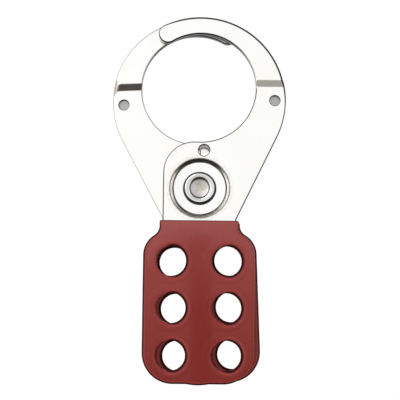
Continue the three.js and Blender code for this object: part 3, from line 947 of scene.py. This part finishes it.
def rivet_profile():
    """(radius, y, cut_edge) from the middle of the dished hollow round to the head's middle."""
    seat = PLATE_THICKNESS + 2 * MEETING_GAP
    crest = -(seat + CLINCH_HEIGHT)
    outer_roll = CLINCH_RADIUS - CLINCH_CREST_RADIUS
    inner_roll = CLINCH_CREST_RADIUS - HOLLOW_MOUTH_RADIUS
    quarter = [math.pi / 2 * k / ROLL_STEPS for k in range(ROLL_STEPS + 1)]
    points = []
    for k in range(HOLLOW_STEPS):
        share = k / HOLLOW_STEPS
        depth = HOLLOW_WALL_DEPTH + (HOLLOW_DEPTH - HOLLOW_WALL_DEPTH) * (1 - share**2)
        points.append((HOLLOW_RADIUS * share, crest + depth, 1.0))
    points.append((HOLLOW_RADIUS - 0.06, crest + HOLLOW_WALL_DEPTH, 1.0))
    points.append((HOLLOW_RADIUS, crest + HOLLOW_WALL_DEPTH - 0.06, 1.0))
    # the cut_edge values on the rolls and the seat give the steel's painted edge shade: dark on the
    # rolls' steep sides and at the foot
    for t in quarter:
        down = INNER_ROLL_DEPTH * (1 - math.sin(t))
        wear_and_shade = 0.3 * (1 - math.sin(t)) ** 8
        points.append((CLINCH_CREST_RADIUS - inner_roll * math.cos(t), crest + down, wear_and_shade))
    for t in quarter[1:]:
        down = OUTER_ROLL_DEPTH * (1 - math.cos(t))
        wear_and_shade = 0.3 * math.sin(t) ** 3
        points.append((CLINCH_CREST_RADIUS + outer_roll * math.sin(t), crest + down, wear_and_shade))
    points += [(CLINCH_FOOT_RADIUS + 0.05, -seat, 0.3), (CLINCH_FOOT_RADIUS, -seat + 0.02, 0.3)]
    points += [(SHANK_RADIUS + 0.1, -seat + 0.02, 0.3), (SHANK_RADIUS, -seat + 0.12, 0.3)]
    points += [(SHANK_RADIUS, seat - 0.12, 0.3), (SHANK_RADIUS + 0.1, seat, 0.3)]
    points += [(RIVET_HEAD_RADIUS - 0.2, seat, 0.3), (RIVET_HEAD_RADIUS - 0.06, seat + 0.06, 0.1)]
    dome = RIVET_HEAD_HEIGHT - RIVET_HEAD_EDGE
    for k in range(DOME_STEPS + 1):
        t = math.pi / 2 * k / DOME_STEPS
        height = seat + RIVET_HEAD_EDGE + dome * math.sin(t)
        points.append((RIVET_HEAD_RADIUS * math.cos(t), height, 0.0))
    return points


def rivet_mesh(name):
    """The rivet's profile turned about its axis, where the first and last rings are one point."""
    verts = []
    polys = []
    rings = []
    cut_edge = []
    for radius, y, cut in rivet_profile():
        if radius < SAME_POINT:
            radius, count = 0, 1
        else:
            count = RIVET_SEGMENTS
        rings.append(range(len(verts), len(verts) + count))
        cut_edge += [cut] * count
        angles = [2 * math.pi * i / count for i in range(count)]
        verts += [(radius * math.cos(a), y, radius * math.sin(a)) for a in angles]
    for lower, upper in zip(rings, rings[1:]):
        for i in range(RIVET_SEGMENTS):
            j = (i + 1) % RIVET_SEGMENTS
            if len(lower) == 1:
                polys.append((lower[0], upper[i], upper[j]))
            elif len(upper) == 1:
                polys.append((lower[j], lower[i], upper[0]))
            else:
                polys.append((lower[i], upper[i], upper[j], lower[j]))
    mesh = bpy.data.meshes.new(name)
    mesh.from_pydata(verts, [], polys)
    mesh.attributes.new("cut_edge", "FLOAT", "POINT").data.foreach_set("value", cut_edge)
    mesh.shade_smooth()
    return mesh


# ---------------------------------------------------------------- the pieces

# rings of painted shade on the plates: where the recess's wall meets its floor and its mouth, and a
# painted contact shadow round the rivet's foot
plate_shade_rings = (
    (RECESS_FLOOR_RADIUS + 0.04, 0.34, 1.0),
    (RECESS_MOUTH_RADIUS - 0.02, 0.26, 0.75),
    (CLINCH_RADIUS + 0.02, 0.4, 1.0),
)
plate_stains = ((RECESS_MOUTH_RADIUS - 0.1, 0.7, 0.5), (RECESS_MOUTH_RADIUS + 0.5, 1.0, 0.22))
# rings of painted shade on the rivet: round its hollow, over its inner roll and round its foot
rivet_shade_rings = ((HOLLOW_RADIUS, 0.2, 0.6), (4.3, 0.34, 0.3), (CLINCH_RADIUS - 0.08, 0.36, 1.0))
rivet_stains = ((0.0, 3.1, 0.75),)
steel = steel_material(
    "zinc_plated_steel", (0.95, 0.95, 0.945), plate_shade_rings, plate_stains, 0.8, 0.15
)
rivet_steel = steel_material(
    "rivet_steel", (0.83, 0.845, 0.85), rivet_shade_rings, rivet_stains, 0.63, 0.24
)
front_vinyl = vinyl_material("red_dipped_vinyl", 1.0)
# the rear handle's vinyl is a paler copy, painted light over its strip that lies in shade behind
# the front handle
rear_vinyl = vinyl_material("lightened_red_dipped_vinyl", 1.18)

for side, front, top in (("front", True, FRONT_COAT_TOP_Z), ("rear", False, REAR_COAT_TOP_Z)):
    place = jaw_matrix(front)
    plate = jaw_plate_mesh(f"{side}_stamped_plate", place, front)
    piece(f"{side}_stamped_plate", plate, f"{side}_jaw", steel, "plated_steel", f"{side}_jaw_plate")
    coat = coat_mesh(f"{side}_dipped_handle", place, top, 3.0 if front else 11.0)
    vinyl = front_vinyl if front else rear_vinyl
    piece(
        f"{side}_dipped_handle", coat, f"{side}_jaw", vinyl, "red_vinyl", f"{side}_handle_coating"
    )

rivet = rivet_mesh("semi_tubular_rivet")
rivet.transform(Matrix.Translation(PIVOT) @ Matrix.Scale(MM, 4))
piece("semi_tubular_rivet", rivet, "rear_jaw", rivet_steel, "rivet_steel", "pivot_rivet")


# ---------------------------------------------------------------- studio


def studio_world():
    """Soft studio: a white wall before the hasp, a dim ceiling, black below, gray behind."""
    world = bpy.data.worlds.new("soft_studio")
    bpy.context.scene.world = world
    world.use_nodes = True
    nodes = world.node_tree.nodes
    links = world.node_tree.links
    background = nodes["Background"]
    where = nodes.new("ShaderNodeTexCoord")
    split = nodes.new("ShaderNodeSeparateXYZ")
    links.new(where.outputs["Generated"], split.inputs["Vector"])
    height = math_node(nodes, links, "MULTIPLY_ADD", split.outputs["Z"], 0.5, 0.5)
    before = ramp_of(nodes, links, height, FRONT_SKY)
    behind = ramp_of(nodes, links, height, BACK_SKY)
    backness = nodes.new("ShaderNodeMapRange")
    backness.inputs["From Min"].default_value = 0.05
    backness.inputs["From Max"].default_value = 0.5
    links.new(split.outputs["Y"], backness.inputs["Value"])
    sky = mix_colours(nodes, links, backness.outputs["Result"], before, behind)
    from_left = nodes.new("ShaderNodeMapRange")
    from_left.inputs["From Min"].default_value = -1.0
    from_left.inputs["To Min"].default_value = 1.1
    from_left.inputs["To Max"].default_value = 0.9
    links.new(split.outputs["X"], from_left.inputs["Value"])
    brightness = math_node(nodes, links, "MULTIPLY", from_left.outputs["Result"], 1.04)
    links.new(brightness, background.inputs["Strength"])
    shown = nodes.new("ShaderNodeLightPath")
    sky = mix_colours(nodes, links, shown.outputs["Is Camera Ray"], sky, (1, 1, 1, 1))
    links.new(sky, background.inputs["Color"])


def area_light(name, place, target, size, power):
    data = bpy.data.lights.new(name, "AREA")
    data.shape = "DISK"
    data.size = size
    data.energy = power
    light = bpy.data.objects.new(name, data)
    light.location = place
    light.rotation_mode = "QUATERNION"
    light.rotation_quaternion = (Vector(target) - Vector(place)).to_track_quat("-Z", "Y")
    bpy.context.scene.collection.objects.link(light)


def pale_floor(low):
    """A round pale floor well below the hanging hasp."""
    mesh = bpy.data.meshes.new("floor")
    drop = low - FLOOR_DROP
    angles = [2 * math.pi * i / FLOOR_SIDES for i in range(FLOOR_SIDES)]
    rim = [(FLOOR_RADIUS * math.cos(a), FLOOR_RADIUS * math.sin(a), drop) for a in angles]
    mesh.from_pydata(rim, [], [tuple(range(FLOOR_SIDES))])
    floor = bpy.data.objects.new("floor", mesh)
    material, _, _, shader = new_material("floor_paint")
    shader.inputs["Base Color"].default_value = (0.9, 0.9, 0.9, 1)
    shader.inputs["Roughness"].default_value = 0.9
    mesh.materials.append(material)
    bpy.context.scene.collection.objects.link(floor)
    floor.visible_glossy = False


def front_camera():
    """Stands in front of the handles' upper end and looks up a little, with a slight roll."""
    data = bpy.data.cameras.new("camera")
    data.sensor_width = 36
    data.lens = CAMERA_LENS
    data.shift_y = CAMERA_SHIFT
    data.clip_start = 0.01
    camera = bpy.data.objects.new("camera", data)
    camera.location = CAMERA_PLACE
    pitch = Matrix.Rotation(math.radians(90 + CAMERA_PITCH), 4, "X")
    roll = Matrix.Rotation(math.radians(CAMERA_ROLL), 4, "Z")
    camera.rotation_euler = (pitch @ roll).to_euler()
    bpy.context.scene.collection.objects.link(camera)
    bpy.context.scene.camera = camera


studio_world()
pale_floor(cad_box[0].z)
area_light("key_light", (-0.5, -0.6, 0.5), (0, 0, -0.04), 0.9, 3.0)
front_camera()
bpy.context.scene.view_settings.view_transform = "Standard"
